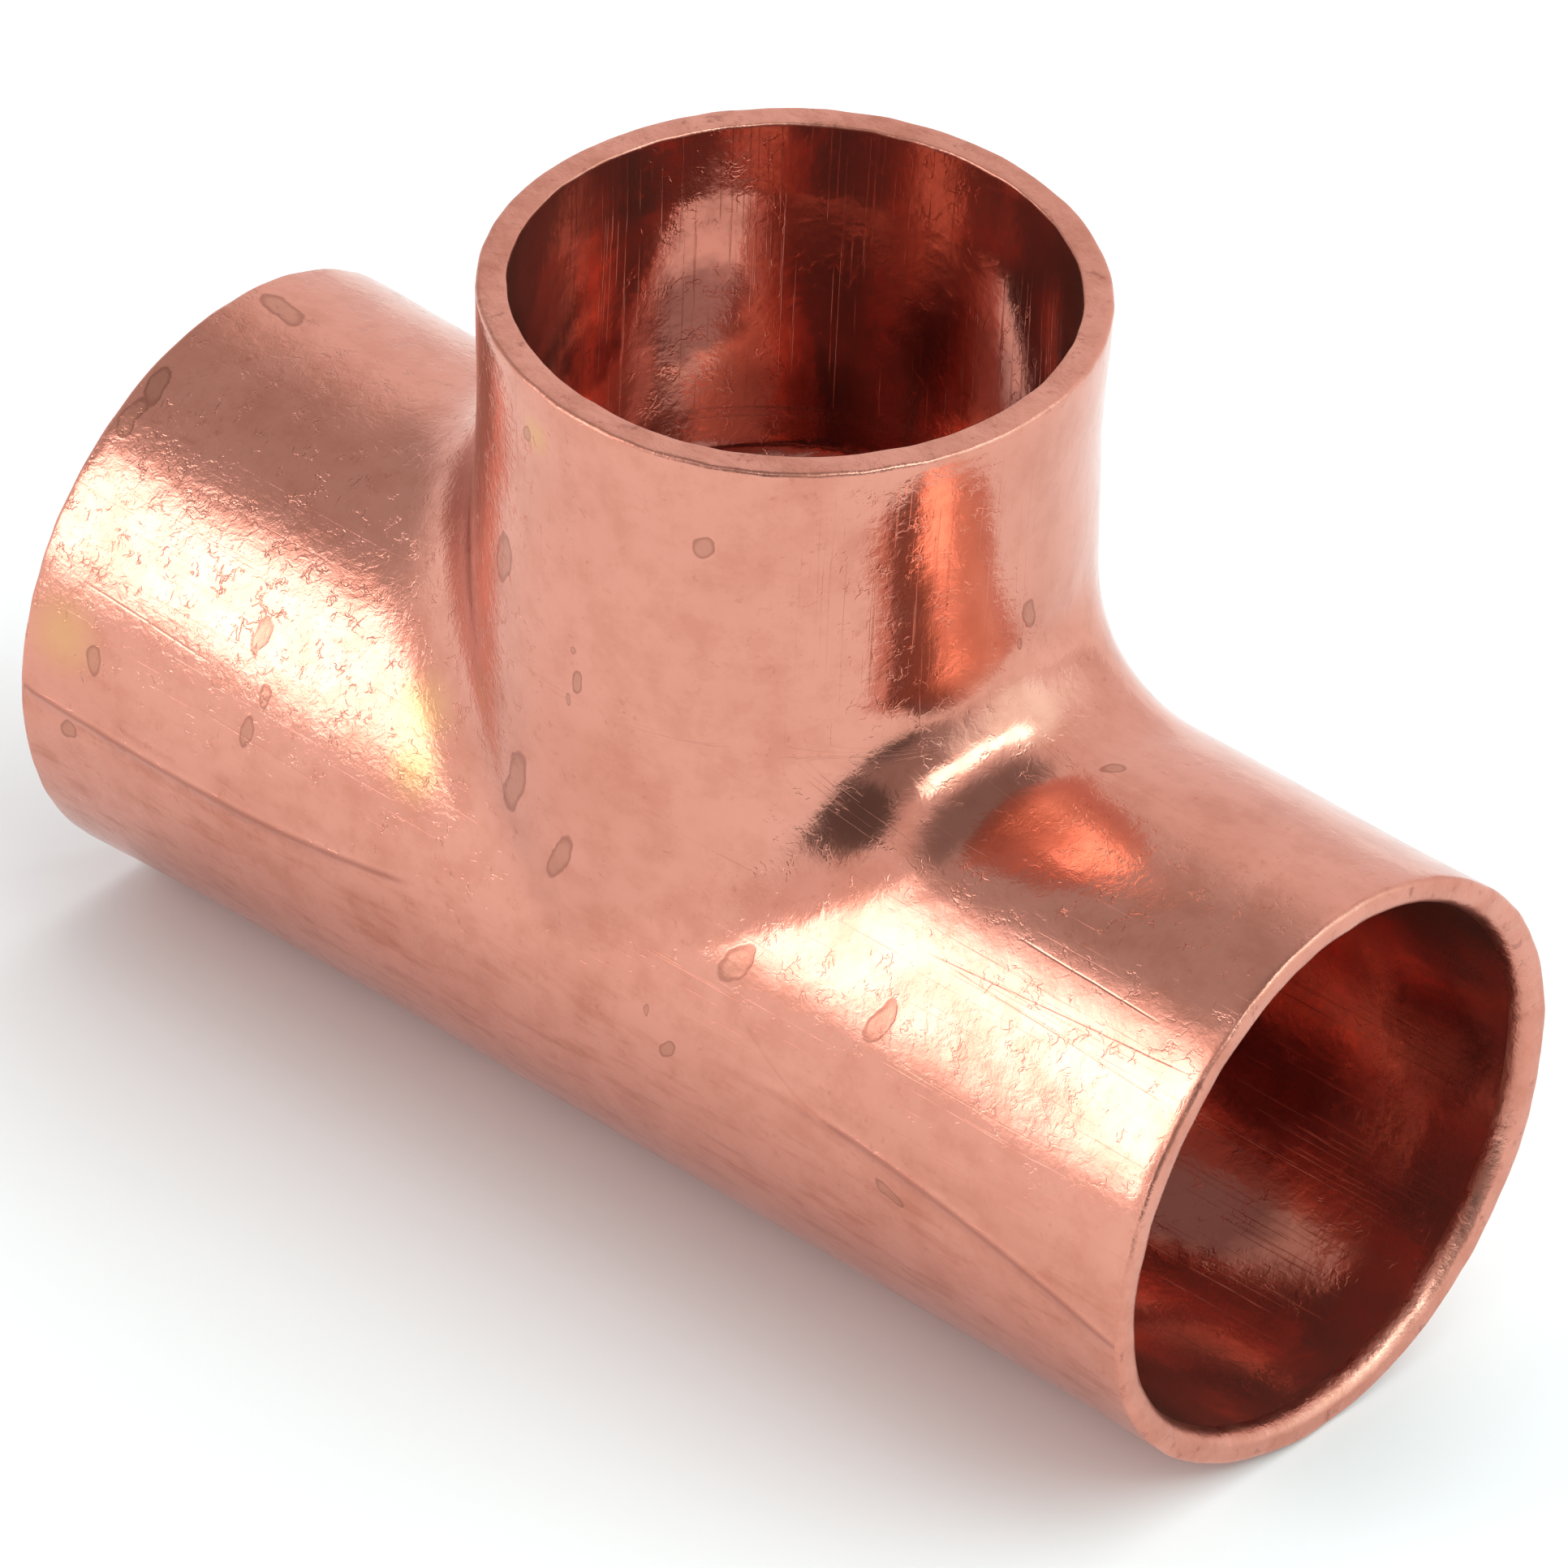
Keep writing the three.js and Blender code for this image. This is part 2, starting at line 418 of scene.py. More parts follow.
def parting_lines(points, outer):
    """A low crest along both flanks of the run, where the halves of the die met."""
    x, y, z = points.T
    along = x / MM
    path = np.where(x > 0, PARTING_RIGHT.across(along), PARTING_LEFT.across(along)) * MM
    away = np.arctan2(np.abs(y), z) * MOUTH_RADIUS - path
    crest = np.exp(-(away / PARTING_WIDTH) ** 2)
    reach = eased((np.abs(x) - 5 * MM) / (5 * MM)) * eased((RUN_END - np.abs(x)) / (0.6 * MM))
    grow = 1 + outer * PARTING_CREST * crest * reach / MOUTH_RADIUS
    return np.stack([x, y * grow, z * grow], -1)


def hand_waves(points):
    """The slight unevenness of a pressed wall and its cut rims."""
    past_rim = np.maximum(np.abs(points[:, 0]) - RUN_END, points[:, 2] - BRANCH_END)
    burrs = BURR * eased(1 + past_rim / BURR_REACH)
    (broad_size, broad_depth), (fine_size, fine_depth) = BROAD_WAVE, FINE_WAVE
    elsewhere = Vector((7, 3, 5))
    noise.seed_set(WAVE_SEED)
    moved = points.copy()
    for row, (place, burr) in enumerate(zip(points, burrs)):
        at = Vector(place)
        broad = noise.noise_vector(at / broad_size) * broad_depth
        fine = noise.noise_vector(at / fine_size + elsewhere) * fine_depth
        moved[row] += np.array(broad + fine + noise.noise_vector(at / BURR_SIZE) * burr)
    return moved


def in_frame(points):
    """Stands the fitting on the floor and fits it to the frame's box, a change under 1%."""
    low, high = points.min(0), points.max(0)
    size = np.array(HIGH_CORNER - LOW_CORNER)
    return (points - low) * size / (high - low) + np.array(LOW_CORNER)


def grid_faces(rows, columns, first, closed, flipped):
    """Quads of a grid whose points start at first; closed joins the last column to the first."""
    last = columns if closed else columns - 1
    row, column = np.meshgrid(np.arange(rows - 1), np.arange(last), indexing="ij")
    beside = (column + 1) % columns
    quads = np.stack([row * columns + column, row * columns + beside,
                      (row + 1) * columns + beside, (row + 1) * columns + column], -1)
    if flipped:
        quads = quads[..., ::-1]
    return quads.reshape(-1, 4) + first


SKIN, RIM, BORE = range(3)


def tee_points(tee):
    """All points and quads, the surface of each quad, and 1 for each point outside the lips."""
    points, quads, surfaces, outer = [], [], [], []
    count = 0
    grids = [(tee.branch_grid(), False), (tee.run_grid(1), True), (tee.run_grid(-1), False)]
    for (grid, inside_from), flipped in grids:
        grid[inside_from:] = tee.open_sockets(grid[inside_from:])
        rows, columns = grid.shape[:2]
        faces = grid_faces(rows, columns, count, True, flipped)
        kind = np.full((rows - 1, columns), SKIN)
        kind[inside_from - 1:] = BORE
        kind[inside_from - sum(LIP_ROWS) - 1:inside_from - 1] = RIM
        is_outer = np.zeros((rows, columns))
        is_outer[:inside_from - sum(LIP_ROWS)] = 1
        points.append(grid.reshape(-1, 3))
        quads.append(faces)
        surfaces.append(kind.reshape(-1))
        outer.append(is_outer.reshape(-1))
        count += rows * columns
    return (np.concatenate(points), np.concatenate(quads),
            np.concatenate(surfaces), np.concatenate(outer))


def welded(points, quads):
    """Which points to keep where the grids' edges lie on each other, and the quads on them."""
    keys = np.round(points / MERGE_DISTANCE).astype(np.int64)
    _, first, index = np.unique(keys, axis=0, return_index=True, return_inverse=True)
    return first, index.reshape(-1)[quads]


class TEE_OT_form_body(bpy.types.Operator):
    """Forms the fitting: run, branch, crotch, rims, sockets and tube stops in one wall"""

    bl_idname = "tee.form_body"
    bl_label = "Form Tee Body"
    bl_options = {"REGISTER", "UNDO"}

    def execute(self, context):
        tee = Tee(context.scene.tee_shape)
        points, quads, surfaces, outer = tee_points(tee)
        first, quads = welded(points, quads)
        points, outer = points[first], outer[first]
        points = parting_lines(out_of_round(points), outer)
        points = in_frame(hand_waves(points))

        mesh = bpy.data.meshes.new("copper_tee")
        mesh.from_pydata(points.tolist(), [], quads.tolist())
        mesh.polygons.foreach_set("material_index", surfaces)
        mesh.validate()
        mesh.shade_smooth()
        body = bpy.data.objects.new("copper_tee", mesh)
        context.scene.collection.objects.link(body)
        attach(body, BODY)
        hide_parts(NODE)
        return {"FINISHED"}


# --- Node recipes ----------------------------------------------------------------------
class Recipe:
    """Adds nodes to one tree; a value is a number, a tuple or the output of another node."""

    def __init__(self, tree):
        self.tree = tree

    def node(self, kind, inputs=None, **settings):
        made = self.tree.nodes.new(kind)
        for name, value in settings.items():
            setattr(made, name, value)
        for name, value in (inputs or {}).items():
            self.feed(made.inputs[name], value)
        return made

    def feed(self, socket, value):
        if isinstance(value, bpy.types.NodeSocket):
            self.tree.links.new(value, socket)
        elif value is not None:
            socket.default_value = value

    def math(self, operation, a, b=None, c=None):
        made = self.node("ShaderNodeMath", operation=operation)
        for socket, value in zip(made.inputs, (a, b, c)):
            self.feed(socket, value)
        return made.outputs[0]

    def vector(self, operation, a, b=None, scale=None):
        made = self.node("ShaderNodeVectorMath", operation=operation)
        self.feed(made.inputs[0], a)
        self.feed(made.inputs[1], b)
        if scale is not None:
            self.feed(made.inputs["Scale"], scale)
        return made.outputs["Value" if operation in ("LENGTH", "DISTANCE", "DOT_PRODUCT") else 0]

    def scaled(self, place, factors):
        return self.vector("MULTIPLY", place, factors)

    def noise(self, place, scale, detail=4.0, roughness=0.55, distortion=0.0):
        made = self.node("ShaderNodeTexNoise", {
            "Vector": place, "Scale": scale, "Detail": detail,
            "Roughness": roughness, "Distortion": distortion})
        return made.outputs["Fac"]

    def step(self, value, low, high, bottom=0.0, top=1.0):
        """Eases from bottom to top as value goes from low to high."""
        made = self.node("ShaderNodeMapRange", {
            "Value": value, "From Min": low, "From Max": high,
            "To Min": bottom, "To Max": top}, interpolation_type="SMOOTHSTEP")
        return made.outputs[0]

    def mix(self, amount, a, b):
        """A colour between a and b; the node's colour sockets are told by their places."""
        made = self.node("ShaderNodeMix", data_type="RGBA")
        self.feed(made.inputs["Factor"], amount)
        self.feed(made.inputs[6], a)
        self.feed(made.inputs[7], b)
        return made.outputs[2]

    def total(self, *parts):
        out = parts[0]
        for part in parts[1:]:
            out = self.math("ADD", out, part)
        return out

    def times(self, *parts):
        out = parts[0]
        for part in parts[1:]:
            out = self.math("MULTIPLY", out, part)
        return out

    def group(self, tree, **inputs):
        made = self.node("ShaderNodeGroup", node_tree=tree)
        for name, value in inputs.items():
            self.feed(made.inputs[name.replace("_", " ").title()], value)
        return made.outputs


FLOAT = "NodeSocketFloat"
VECTOR = "NodeSocketVector"
COLOR = "NodeSocketColor"


def new_group(name, inputs, outputs):
    """An empty shader group: its recipe, the values it is given and the sockets it puts out."""
    tree = bpy.data.node_groups.new(name, "ShaderNodeTree")
    for label, kind in inputs.items():
        tree.interface.new_socket(label, in_out="INPUT", socket_type=kind)
    for label, kind in outputs.items():
        tree.interface.new_socket(label, in_out="OUTPUT", socket_type=kind)
    recipe = Recipe(tree)
    entry = recipe.node("NodeGroupInput")
    leave = recipe.node("NodeGroupOutput")
    return recipe, entry.outputs, leave.inputs


def rgba(color):
    return (*color, 1.0)


def fitting_places():
    """Where a point lies: millimetres from the crossing, and unrolled round both tubes."""
    recipe, _, leave = new_group("fitting_places", {}, {
        "Place": VECTOR, "Run Sheet": VECTOR, "Drawn Sheet": VECTOR})
    here = recipe.node("ShaderNodeTexCoord").outputs["Object"]
    place = recipe.vector("SCALE", recipe.vector("SUBTRACT", here, (0, 0, AXIS_HEIGHT)), scale=1000)
    parts = recipe.node("ShaderNodeSeparateXYZ", {"Vector": place}).outputs
    near = recipe.math("MULTIPLY", parts["Y"], -1.0)
    turn = recipe.math("ARCTAN2", near, parts["Z"])
    arc = recipe.math("MULTIPLY", turn, MOUTH_RADIUS / MM)
    run_sheet = recipe.node("ShaderNodeCombineXYZ", {"X": parts["X"], "Y": arc}).outputs[0]
    bearing = recipe.math("ARCTAN2", parts["X"], near)
    arc = recipe.math("MULTIPLY", bearing, MOUTH_RADIUS / MM)
    branch_sheet = recipe.node("ShaderNodeCombineXYZ", {"X": parts["Z"], "Y": arc}).outputs[0]
    recipe.feed(leave["Place"], place)
    recipe.feed(leave["Run Sheet"], run_sheet)
    on_branch = recipe.step(parts["Z"], 8.9, 9.4)
    recipe.feed(leave["Drawn Sheet"], recipe.mix(on_branch, run_sheet, branch_sheet))
    return recipe.tree


def crinkled_grain():
    """Etched grain of annealed copper: flat cells with thin curled edges."""
    recipe, entry, leave = new_group(
        "crinkled_grain", {"Place": VECTOR, "Cell": FLOAT}, {"Height": FLOAT, "Edges": FLOAT})
    place = entry["Place"]
    size = recipe.math("DIVIDE", 1.0, entry["Cell"])
    warp = recipe.node("ShaderNodeTexNoise", {
        "Vector": place, "Scale": recipe.times(size, 0.9), "Detail": 3.0}).outputs["Color"]
    warp = recipe.vector("SUBTRACT", warp, (0.5, 0.5, 0.5))
    warp = recipe.vector("SCALE", warp, scale=recipe.times(entry["Cell"], 2.2))
    bent = recipe.vector("ADD", place, warp)
    cells = recipe.node("ShaderNodeTexVoronoi", {
        "Vector": bent, "Scale": size}, feature="DISTANCE_TO_EDGE").outputs["Distance"]
    edges = recipe.step(cells, 0.0, 0.09, 1.0, 0.0)
    broken = recipe.step(recipe.noise(place, recipe.times(size, 0.7), 2.0), 0.52, 0.66)
    edges = recipe.times(edges, broken)
    swell = recipe.noise(bent, recipe.times(size, 1.2), 3.0)
    recipe.feed(leave["Edges"], edges)
    recipe.feed(leave["Height"], recipe.math("SUBTRACT", swell, recipe.times(edges, 0.45)))
    return recipe.tree


def tarnish_clouds():
    """Thin uneven oxide: broad clouds and small flecks."""
    recipe, entry, leave = new_group(
        "tarnish_clouds", {"Place": VECTOR}, {"Clouds": FLOAT, "Flecks": FLOAT})
    place = entry["Place"]
    broad = recipe.step(recipe.noise(place, 0.22, 3.0, 0.6), 0.38, 0.68)
    blotch = recipe.step(recipe.noise(place, 0.9, 5.0, 0.68), 0.42, 0.66)
    recipe.feed(leave["Clouds"], recipe.total(recipe.times(broad, 0.5), recipe.times(blotch, 0.5)))
    small = recipe.step(recipe.noise(place, 3.2, 4.0, 0.7), 0.56, 0.7)
    where = recipe.step(recipe.noise(place, 0.5, 2.0), 0.42, 0.62)
    recipe.feed(leave["Flecks"], recipe.times(small, where))
    return recipe.tree


BRANCH_FOOT = 9.0                # millimetres above the crossing, where the branch's wall begins

# Dried water spots: (x, y, z) from the crossing, (length, width), lean in degrees;
# millimetres. Each lies on the outside, long way up the wall before its lean.
WATER_SPOTS = (
    ((-18.4, 0.3, 8.5), (1.6, 0.75), 80),
    ((-19.2, -3.7, 7.6), (1.1, 0.6), 20),
    ((-19.2, -4.9, 7.0), (0.9, 0.5), 10),
    ((-12.1, -7.2, 4.5), (0.95, 0.5), 0),
    ((-17.2, -8.3, 1.7), (0.8, 0.5), 0),
    ((-11.3, -7.7, 3.3), (0.6, 0.45), 10),
    ((-11.6, -8.1, 2.2), (1.0, 0.45), 0),
    ((-3.0, -7.7, 11.8), (1.5, 0.65), -8),
    ((-2.1, -8.0, 5.3), (2.3, 0.85), -18),
    ((-0.2, -8.3, 3.9), (1.7, 0.55), -22),
    ((0.2, -8.3, 9.7), (0.75, 0.36), -10),
    ((0.1, -8.3, 10.7), (0.3, 0.2), 0),
    ((-0.1, -8.3, 9.0), (0.35, 0.2), 0),
    ((3.7, -7.4, 15.4), (0.7, 0.5), 0),
    ((8.5, 0.2, 11.8), (0.9, 0.55), 25),
    ((8.8, -0.1, 11.0), (0.5, 0.25), 25),
    ((11.3, 0.3, 8.8), (0.6, 0.45), 0),
    ((5.6, -7.7, 3.3), (1.35, 0.8), -30),
    ((10.3, -7.5, 3.8), (1.3, 0.6), -20),
    ((3.9, -8.4, 0.0), (0.7, 0.4), -40),
    ((3.1, -8.4, 0.8), (0.3, 0.2), 0),
    ((11.7, -8.4, -0.5), (1.0, 0.4), 70),
    ((-18.0, -8.4, -0.8), (0.6, 0.5), 0),
    ((-1.9, -8.2, 16.4), (0.5, 0.3), 0),
    ((14.0, 6.2, 5.7), (1.2, 0.7), 30),
    ((-9.0, 7.6, 3.6), (1.4, 0.6), -15),
    ((2.5, 8.0, 9.5), (1.5, 0.6), 5),
    ((-4.5, 6.9, 13.0), (0.9, 0.5), 0),
    ((-14.5, 8.0, 2.6), (0.8, 0.5), 20),
    ((6.5, 8.3, -1.0), (1.1, 0.5), 50),
)


def water_spots():
    """Dried drops: a thin film inside, and a darker ring where the edge dried last."""
    recipe, entry, leave = new_group("water_spots", {"Place": VECTOR}, {"Film": FLOAT, "Ring": FLOAT})
    place = entry["Place"]
    ragged = recipe.node("ShaderNodeTexNoise", {
        "Vector": place, "Scale": 1.1, "Detail": 2.0}).outputs["Color"]
    ragged = recipe.vector("SCALE", recipe.vector("SUBTRACT", ragged, (0.5, 0.5, 0.5)), scale=0.5)
    place = recipe.vector("ADD", place, ragged)
    nearest = None
    for centre, (length, width), lean in WATER_SPOTS:
        on_top = abs(centre[1]) < 0.5 * centre[2] and centre[2] < BRANCH_FOOT
        outward = Vector((0, 0, 1)) if on_top else Vector((0, centre[1], 0)).normalized()
        if centre[2] > BRANCH_FOOT:
            outward = Vector((centre[0], centre[1], 0)).normalized()
        upward = Vector((0, 1, 0)) if on_top else Vector((0, 0, 1))
        turned = Matrix.Rotation(math.radians(lean), 3, outward)
        up = turned @ upward
        across = up.cross(outward)
        axes = Matrix((across, outward, up)).transposed()
        local = recipe.node("ShaderNodeMapping", {
            "Vector": place, "Location": centre, "Rotation": axes.to_euler(),
            "Scale": (width / 2, 1.2, length / 2)}, vector_type="TEXTURE").outputs[0]
        away = recipe.vector("LENGTH", local)
        nearest = away if nearest is None else recipe.math("MINIMUM", nearest, away)
    recipe.feed(leave["Film"], recipe.step(nearest, 0.9, 1.05, 1.0, 0.0))
    ring = recipe.times(recipe.step(nearest, 0.6, 0.95), recipe.step(nearest, 0.96, 1.1, 1.0, 0.0))
    recipe.feed(leave["Ring"], ring)
    return recipe.tree


def drawn_scratches():
    """Fine parallel scratches along a sheet's first direction."""
    recipe, entry, leave = new_group(
        "drawn_scratches", {"Sheet": VECTOR, "Crowding": FLOAT}, {"Scratches": FLOAT})
    drawn = recipe.scaled(entry["Sheet"], (0.11, 9.0, 1.0))
    lines = recipe.noise(drawn, 1.0, 3.0, 0.6)
    low = recipe.math("SUBTRACT", 0.72, entry["Crowding"])
    recipe.feed(leave["Scratches"], recipe.step(lines, low, recipe.math("ADD", low, 0.06)))
    return recipe.tree


def score_line():
    """One line on a sheet: across = offset + slope t + bow t^2, with t counted from the start."""
    recipe, entry, leave = new_group(
        "score_line",
        {"Sheet": VECTOR, "Start": FLOAT, "End": FLOAT, "Offset": FLOAT, "Slope": FLOAT,
         "Bow": FLOAT, "Width": FLOAT},
        {"Line": FLOAT})
    parts = recipe.node("ShaderNodeSeparateXYZ", {"Vector": entry["Sheet"]}).outputs
    run = recipe.math("SUBTRACT", parts["X"], entry["Start"])
    path = recipe.total(
        entry["Offset"], recipe.times(run, entry["Slope"]), recipe.times(run, run, entry["Bow"]))
    wander = recipe.noise(entry["Sheet"], 0.8, 2.0)
    path = recipe.total(path, recipe.times(recipe.math("SUBTRACT", wander, 0.5), 0.05))
    away = recipe.math("DIVIDE", recipe.math("SUBTRACT", parts["Y"], path), entry["Width"])
    line = recipe.step(recipe.math("ABSOLUTE", away), 0.0, 1.0, 1.0, 0.0)
    inside = recipe.times(
        recipe.step(run, 0.0, 1.2),
        recipe.step(recipe.math("SUBTRACT", entry["End"], parts["X"]), 0.0, 1.2))
    recipe.feed(leave["Line"], recipe.times(line, inside))
    return recipe.tree


# --- Copper ---------------------------------------------------------------------------------
OXIDISED = 0.92                  # metallic share of the bores, which kept some oxide
GROUPS = (fitting_places, crinkled_grain, tarnish_clouds, water_spots, drawn_scratches, score_line)


def copper_material(name, groups, finish, build, metallic):
    """A metal whose colour, roughness and height come from build."""
    material = bpy.data.materials.new(name)
    material.use_nodes = True
    recipe = Recipe(material.node_tree)
    shader = material.node_tree.nodes["Principled BSDF"]
    shader.inputs["Metallic"].default_value = metallic
    places = recipe.group(groups["fitting_places"])
    color, roughness, height = build(recipe, groups, places, finish)
    recipe.feed(shader.inputs["Base Color"], color)
    recipe.feed(shader.inputs["Roughness"], roughness)
    bump = recipe.node("ShaderNodeBump", {"Height": height, "Strength": 1.0, "Distance": MM})
    recipe.feed(shader.inputs["Normal"], bump.outputs[0])
    return material


# Heat tint left by annealing: centre, radius; millimetres from the crossing.
STRAW_PATCHES = (
    ((-18.4, -8.2, 2.0), 1.6),
    ((-6.4, -7.0, 5.0), 1.5),
    ((-6.0, -7.6, 3.6), 1.3),
    ((-1.5, -8.3, 16.6), 0.8),
    ((9.0, 7.5, 3.5), 1.8),
)


# The die's slip mark on the right crotch: centre and radius of its arc, and its middle.
SLIP_ARC = ((8.1, -1.1, 9.9), 1.35)
SLIP_MIDDLE = (9.2, -2.0, 10.1)


def scored(recipe, groups, places, scores):
    """All the lines of scores together."""
    lines = None
    for score in scores:
        line = recipe.group(
            groups["score_line"], sheet=places["Run Sheet"], start=score.start, end=score.end,
            offset=score.offset, slope=score.slope, bow=score.bow, width=score.width)["Line"]
        lines = line if lines is None else recipe.math("MAXIMUM", lines, line)
    return lines


def slip_mark(recipe, place):
    """A short curved nick in the right crotch."""
    centre, radius = SLIP_ARC
    away = recipe.math("SUBTRACT", recipe.vector("DISTANCE", place, centre), radius)
    arc = recipe.step(recipe.math("ABSOLUTE", away), 0.0, 0.11, 1.0, 0.0)
    from_middle = recipe.vector("DISTANCE", place, SLIP_MIDDLE)
    return recipe.times(arc, recipe.step(from_middle, 0.6, 1.1, 1.0, 0.0))


def pickled_skin(recipe, groups, places, finish):
    """The outside: oxide, streaks that are partly painted shade low on the run, heat tint, dried
    water, lines and scratches; heights in mm.
    """
    place = places["Place"]
    oxide = recipe.group(groups["tarnish_clouds"], place=place)
    grain = recipe.group(groups["crinkled_grain"], place=place, cell=0.42)
    spots = recipe.group(groups["water_spots"], place=place)
    rubbed = recipe.group(groups["drawn_scratches"], sheet=places["Drawn Sheet"], crowding=0.1)
    parts = recipe.node("ShaderNodeSeparateXYZ", {"Vector": place}).outputs
    parting = scored(recipe, groups, places, (PARTING_RIGHT, PARTING_LEFT))
    marks = recipe.total(scored(recipe, groups, places, MARKS), slip_mark(recipe, place))
    drawn = recipe.noise(recipe.scaled(places["Run Sheet"], (0.35, 1.6, 1.0)), 1.0, 5.0, 0.65)
    # Brown streaks along the run, stronger low down: partly real tarnish and partly painted shade
    # that darkens the lower flank.
    low_down = recipe.step(parts["Z"], -3.0, 3.0, 1.0, 0.1)
    streaks = recipe.times(recipe.step(drawn, 0.5, 0.64), low_down)
    amount = recipe.total(
        recipe.times(oxide["Clouds"], 0.6), recipe.times(oxide["Flecks"], 0.5),
        recipe.times(rubbed["Scratches"], 0.12), recipe.times(streaks, 0.55))
    color = recipe.mix(amount, rgba(finish.clean), rgba(finish.tarnish))
    tint = None
    for centre, radius in STRAW_PATCHES:
        away = recipe.vector("DISTANCE", place, centre)
        patch = recipe.step(away, 0.1 * radius, radius, 0.5, 0.0)
        tint = patch if tint is None else recipe.math("MAXIMUM", tint, patch)
    color = recipe.mix(tint, color, rgba(finish.straw))
    color = recipe.mix(recipe.times(spots["Film"], 0.55), color, rgba(finish.dried_water))
    color = recipe.mix(recipe.times(spots["Ring"], 0.5), color, rgba(finish.bore_stain))
    lines = recipe.total(recipe.times(parting, 0.55), recipe.times(marks, 0.12))
    color = recipe.mix(lines, color, rgba(finish.bore_stain))
    roughness = recipe.total(
        finish.roughness, recipe.times(oxide["Clouds"], 0.07),
        recipe.times(spots["Film"], 0.1), recipe.times(rubbed["Scratches"], -0.04))
    relief = recipe.step(parts["X"], -6.0, 8.0, 0.017, 0.007)
    height = recipe.total(
        recipe.times(grain["Height"], relief),
        recipe.times(recipe.noise(place, 0.75, 2.0), 0.018),
        recipe.times(rubbed["Scratches"], -0.0015),
        recipe.times(spots["Ring"], 0.003),
        recipe.times(parting, 0.018),
        recipe.times(marks, -0.005))
    return color, roughness, height


# Darker patches inside, partly oxide stains and partly painted shade in the bores' dim places:
# centre, radius; millimetres from the crossing.
BORE_STAINS = (
    ((-6.5, 3.6, 12.4), 2.0),
    ((-5.0, 4.9, 7.8), 4.4),
    ((12.6, 3.8, -6.5), 3.0),
    ((-0.5, 7.4, 12.0), 2.6),
    ((2.5, 7.0, 10.0), 3.2),
    ((-7.5, 0.5, 12.0), 1.4),
    ((17.0, 7.4, -1.0), 2.4),
    ((12.5, 6.4, -3.6), 3.0),
    ((-14.0, 5.0, 5.6), 2.5),
)
STAIN_EDGE = 0.7                 # how far a patch's edge wanders, for the stains and the painted shade alike


def drawn_bore(recipe, groups, places, finish):
    """The inside: drawn lengthwise, stained, with its oxide left on, and darker patches that are
    partly stains and partly painted shade.
    """
    place = places["Place"]
    oxide = recipe.group(groups["tarnish_clouds"], place=place)
    drawn = recipe.group(groups["drawn_scratches"], sheet=places["Drawn Sheet"], crowding=0.12)
    grain = recipe.group(groups["crinkled_grain"], place=place, cell=0.5)
    stain = recipe.times(oxide["Clouds"], 0.45)
    ragged = recipe.times(recipe.noise(place, 1.3, 3.0), 2 * STAIN_EDGE)
    # Patches that are partly oxide stains and partly painted shade, darkening the bores where they
    # lie in shadow.
    for centre, radius in BORE_STAINS:
        away = recipe.total(recipe.vector("DISTANCE", place, centre), ragged)
        patch = recipe.step(away, 0.5 * radius + STAIN_EDGE, radius + STAIN_EDGE, 1.0, 0.0)
        stain = recipe.math("MAXIMUM", stain, patch)
    color = recipe.mix(stain, rgba(finish.bore), rgba(finish.bore_stain))
    roughness = recipe.total(0.12, recipe.times(oxide["Clouds"], 0.08))
    height = recipe.total(
        recipe.times(recipe.noise(place, 0.7, 3.0), 0.022),
        recipe.times(grain["Height"], 0.006),
        recipe.times(drawn["Scratches"], -0.002))
    return color, roughness, height


def cut_rim(recipe, groups, places, finish):
    """The cut ends: dull, a little torn, with patches of dirt."""
    place = places["Place"]
    oxide = recipe.group(groups["tarnish_clouds"], place=place)
    color = recipe.mix(recipe.times(oxide["Clouds"], 0.7), rgba(finish.clean), rgba(finish.tarnish))
    dirt = recipe.step(recipe.noise(place, 1.7, 4.0, 0.7), 0.58, 0.72)
    color = recipe.mix(recipe.times(dirt, 0.6), color, rgba(finish.bore_stain))
    roughness = recipe.total(0.26, recipe.times(oxide["Clouds"], 0.16))
    height = recipe.total(
        recipe.times(recipe.noise(place, 2.6, 4.0, 0.7), 0.035),
        recipe.times(recipe.noise(place, 0.9, 2.0), 0.04))
    return color, roughness, height


class TEE_OT_finish_copper(bpy.types.Operator):
    """Gives the fitting its copper: pickled skin, cut rims and drawn bores"""

    bl_idname = "tee.finish_copper"
    bl_label = "Finish Copper"
    bl_options = {"REGISTER", "UNDO"}

    def execute(self, context):
        body = bpy.data.objects["copper_tee"]
        finish = context.scene.tee_finish
        groups = {build.__name__: build() for build in GROUPS}
        for build, metallic in ((pickled_skin, 1.0), (cut_rim, 1.0), (drawn_bore, OXIDISED)):
            material = copper_material(build.__name__, groups, finish, build, metallic)
            body.data.materials.append(material)
        return {"FINISHED"}


# --- Stage ------------------------------------------------------------------------------------
AIM_RIGHT = 0.36 * MM            # from the crossing to the middle of the view
AIM_UP = 1.88 * MM
SENSOR = 36                      # width of the camera's sensor, in millimetres
NEAR_CLIP = 0.01
FLOOR_SIZE = 6.0
FLOOR_ROUGHNESS = 0.9
FILL_TOWARD = (0.1, 0.3, 1.0)
FILL_SIZE = 1.2                  # side of the fill light, and its distance


def soft_box(name, toward, distance, size, brightness):
    """A square area light in a direction from the fitting, facing it."""
    data = bpy.data.lights.new(name, "AREA")
    data.shape = "SQUARE"
    data.size = size
    data.energy = brightness * math.pi * size * size
    light = bpy.data.objects.new(name, data)
    toward = Vector(toward).normalized()
    light.location = Vector((0, 0, AXIS_HEIGHT)) + toward * distance
    light.rotation_euler = toward.to_track_quat("Z", "Y").to_euler()
    bpy.context.scene.collection.objects.link(light)
    return light


